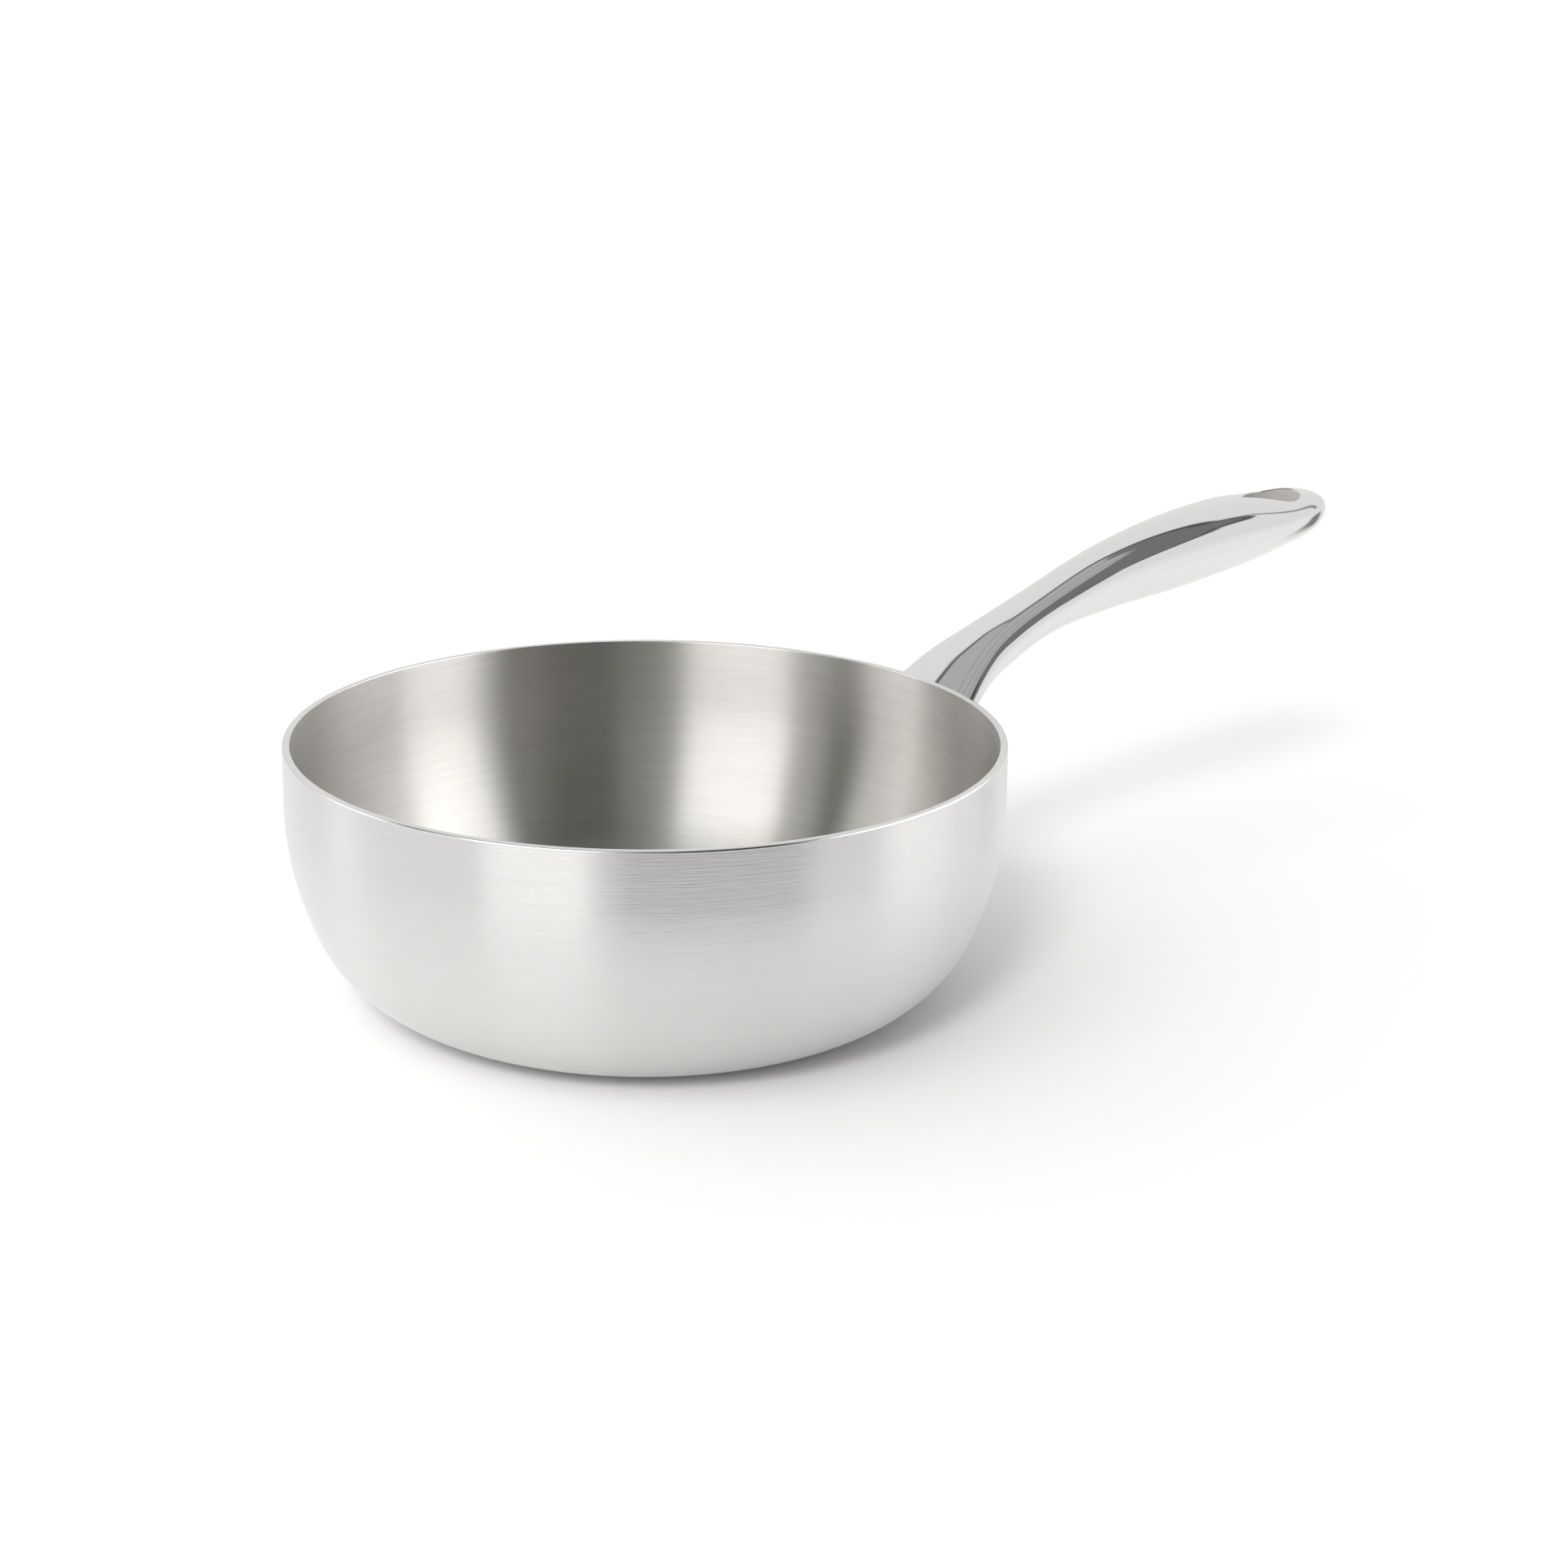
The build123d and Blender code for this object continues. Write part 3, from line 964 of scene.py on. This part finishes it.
class SAUCIER_OT_stage(Operator):
    """Make the floor, the studio light and the camera"""

    bl_idname = "saucier.stage"
    bl_label = "Stage"

    def execute(self, context):
        scene = context.scene
        size, setup = scene.saucier_sizes, scene.saucier_stage
        turn = setup.handle_turn
        to_right = Vector((cos(turn), -sin(turn), 0))
        to_camera = Vector((-sin(turn), -cos(turn), 0))
        target = Vector((0, 0, size.bowl_height))
        self.make_floor(setup, to_right, to_camera)
        self.make_world(scene, setup, to_right, to_camera)
        self.make_suns(setup, to_right, to_camera, target)
        self.make_panels(to_right, to_camera, target)
        self.make_camera(scene, setup, to_right, to_camera, target)
        scene.view_settings.view_transform = "Standard"
        return {"FINISHED"}

    def make_floor(self, setup, to_right, to_camera):
        """A pale floor that runs out of every picture.

        In what mirrors it, the white sheet under the pan ends, and the cards and the dark front
        begin. From below it is clear, and it lies a hair above the pan's flat base, so that the
        underside shows and is lit.
        """
        mesh = bpy.data.meshes.new("floor")
        corners = [
            (x * FLOOR_REACH, y * FLOOR_REACH, FLOOR_LIFT)
            for x, y in ((-1, -1), (1, -1), (1, 1), (-1, 1))
        ]
        mesh.from_pydata(corners, [], [(0, 1, 2, 3)])
        floor = bpy.data.objects.new("floor", mesh)
        bpy.context.scene.collection.objects.link(floor)

        material, tree = new_material("painted_floor")
        white = (*setup.floor_colour, 1.0)
        place = add_node(tree, "ShaderNodeTexCoord").outputs["Object"]
        turn = turn_round(tree, place, to_right, to_camera)
        far = add_node(
            tree, "ShaderNodeVectorMath", {0: place}, operation="LENGTH"
        ).outputs["Value"]
        # Painted reflection: past the white sheet, the floor is painted with darker cards and a dark
        # front
        beyond = layered(
            tree, levels(tree, turn, FLOOR_CARDS),
            [(far, FLOOR_FADE, levels(tree, turn, LOW_CARDS))],
        )
        painted_reflection = layered(tree, white, [(far, SHEET_FADE, beyond)])
        # Only glossy rays see the painted reflection. The camera and matt light see the floor white
        path = add_node(tree, "ShaderNodeLightPath")
        shade = layered(
            tree, white, [(path.outputs["Is Glossy Ray"], ALL_OR_NOTHING, painted_reflection)]
        )
        paint = add_node(tree, "ShaderNodeBsdfDiffuse", {"Color": shade})
        below = add_node(tree, "ShaderNodeNewGeometry").outputs["Backfacing"]
        clear = add_node(tree, "ShaderNodeBsdfTransparent")
        one_sided = add_node(
            tree, "ShaderNodeMixShader", {0: below, 1: paint.outputs[0], 2: clear.outputs[0]}
        )
        add_node(tree, "ShaderNodeOutputMaterial", {"Surface": one_sided.outputs[0]})
        mesh.materials.append(material)

    def make_world(self, scene, setup, to_right, to_camera):
        """White to the eye, a slanted ambient light to what is matt, the studio to the steel."""
        world = bpy.data.worlds.new("studio")
        scene.world = world
        world.use_nodes = True
        # Each kind of ray sees another world, so it isn't sampled as one lamp
        world.cycles.sampling_method = "NONE"
        tree = world.node_tree
        tree.nodes.clear()
        look = add_node(tree, "ShaderNodeTexCoord").outputs["Generated"]
        parts = add_node(tree, "ShaderNodeSeparateXYZ", {"Vector": look})
        height = parts.outputs["Z"]
        turn = turn_round(tree, look, to_right, to_camera)
        over_card, over_start = (
            add_node(
                tree, "ShaderNodeMath", {0: height, 1: levels(tree, turn, sines)},
                operation="SUBTRACT",
            ).outputs[0]
            for sines in (
                [(degrees, sin(radians(up))) for degrees, up in table]
                for table in (CARD_TOPS, CEILING_STARTS)
            )
        )
        beside = add_node(
            tree, "ShaderNodeMath", {0: parts.outputs["Y"], 1: height}, operation="DIVIDE"
        )
        studio = layered(
            tree, levels(tree, turn, DIM_ROOM),
            [
                (over_start, CEILING_FADE, levels(tree, beside.outputs[0], CEILING)),
                (over_card, EDGE_FADE, grey(EDGE_TONE)),
                (over_card, CARD_FADE, levels(tree, turn, CARDS)),
                (height, [sin(radians(up)) for up in LOW_FADE], levels(tree, turn, LOW_CARDS)),
            ],
        )
        slant = add_node(
            tree, "ShaderNodeVectorMath", {0: look, 1: -AMBIENT_SLANT * to_right},
            operation="DOT_PRODUCT",
        )
        ambient = add_node(
            tree, "ShaderNodeMath",
            {0: slant.outputs["Value"], 1: setup.ambient, 2: setup.ambient},
            operation="MULTIPLY_ADD",
        )
        path = add_node(tree, "ShaderNodeLightPath")
        seen = layered(
            tree, ambient.outputs[0],
            [
                (path.outputs["Is Glossy Ray"], ALL_OR_NOTHING, studio),
                (path.outputs["Is Camera Ray"], ALL_OR_NOTHING, grey(1.0)),
            ],
        )
        light = add_node(tree, "ShaderNodeBackground", {"Color": seen, "Strength": 1.0})
        add_node(tree, "ShaderNodeOutputWorld", {"Surface": light.outputs[0]})

    def make_suns(self, setup, to_right, to_camera, target):
        """A broad soft key and a smaller one, both suns, from the camera's left and above it.

        Steel doesn't mirror them, because the studio and its panels stand in their place. A sun's
        strength over pi, times the sine of its height, is what it adds to a white floor.
        """
        for name, (azimuth, elevation, across) in SUNS.items():
            azimuth, elevation = radians(azimuth), radians(elevation)
            lamp = bpy.data.lights.new(name, "SUN")
            lamp.angle = radians(across)
            lamp.energy = getattr(setup, name) * pi / sin(elevation)
            away = facing(to_right, to_camera, azimuth, elevation)
            stand(lamp, target, away, SUN_DISTANCE).visible_glossy = False

    def make_panels(self, to_right, to_camera, target):
        """Bright panels round the pan, each mirrored by one piece alone.

        A panel's power is pi times its brightness times its area.
        """
        for name, (piece, first, last, low, high, distance, level) in PANELS.items():
            azimuth, elevation = radians((first + last) / 2), radians((low + high) / 2)
            width = 2 * distance * cos(elevation) * tan(radians(last - first) / 2)
            height = 2 * distance * tan(radians(high - low) / 2)
            lamp = bpy.data.lights.new(name, "AREA")
            lamp.shape = "RECTANGLE"
            lamp.size, lamp.size_y = width, height
            lamp.energy = level * pi * width * height
            away = facing(to_right, to_camera, azimuth, elevation)
            panel = stand(lamp, target, away, distance)
            panel.visible_diffuse = panel.visible_camera = False
            mirror = bpy.data.collections.new(f"mirrors_{name}")
            mirror.objects.link(bpy.data.objects[piece])
            panel.light_linking.receiver_collection = mirror

    def make_camera(self, scene, setup, to_right, to_camera, target):
        """A long lens, aimed at the rim's centre; the shift puts the pan where the frame has it."""
        data = bpy.data.cameras.new("camera")
        data.lens = setup.focal_length
        data.sensor_width = SENSOR_WIDTH
        data.shift_x = 0.5 - AIM_PIXELS[0] / FRAME_PIXELS
        data.shift_y = AIM_PIXELS[1] / FRAME_PIXELS - 0.5
        away = facing(to_right, to_camera, 0, setup.camera_height)
        scene.camera = stand(data, target, away, setup.camera_distance)


OPERATORS = (
    SAUCIER_OT_liner,
    SAUCIER_OT_skin,
    SAUCIER_OT_handle,
    SAUCIER_OT_weld,
    SAUCIER_OT_plies,
    SAUCIER_OT_stage,
)


class SAUCIER_PT_panel(Panel):
    """Buttons for the pieces and the stage, and their settings"""

    bl_idname = "SAUCIER_PT_panel"
    bl_label = "Saucier pan"
    bl_space_type = "VIEW_3D"
    bl_region_type = "UI"
    bl_category = "Saucier"

    def draw(self, context):
        for operator in OPERATORS:
            self.layout.operator(operator.bl_idname)
        for group in ("saucier_sizes", "saucier_finish", "saucier_stage"):
            settings = getattr(context.scene, group)
            column = self.layout.column(heading=type(settings).__doc__)
            for name in settings.__annotations__:
                column.prop(settings, name)


GROUPS = {
    "saucier_sizes": SaucierSizes,
    "saucier_finish": SaucierFinish,
    "saucier_stage": SaucierStage,
}


def register():
    """Register the groups, the operators and the panel."""
    for name, group in GROUPS.items():
        bpy.utils.register_class(group)
        setattr(bpy.types.Scene, name, PointerProperty(type=group))
    for made in (*OPERATORS, SAUCIER_PT_panel):
        bpy.utils.register_class(made)


def unregister():
    """Undo register, in the opposite order."""
    for made in (SAUCIER_PT_panel, *reversed(OPERATORS)):
        bpy.utils.unregister_class(made)
    for name, group in reversed(GROUPS.items()):
        delattr(bpy.types.Scene, name)
        bpy.utils.unregister_class(group)


def main():
    """Build every piece and the stage, and write the two boxes side by side."""
    register()
    bpy.ops.saucier.liner()
    bpy.ops.saucier.skin()
    bpy.ops.saucier.handle()
    bpy.ops.saucier.weld()
    bpy.ops.saucier.plies()
    bpy.ops.saucier.stage()
    bpy.context.view_layer.update()


if __name__ == "__main__":
    main()
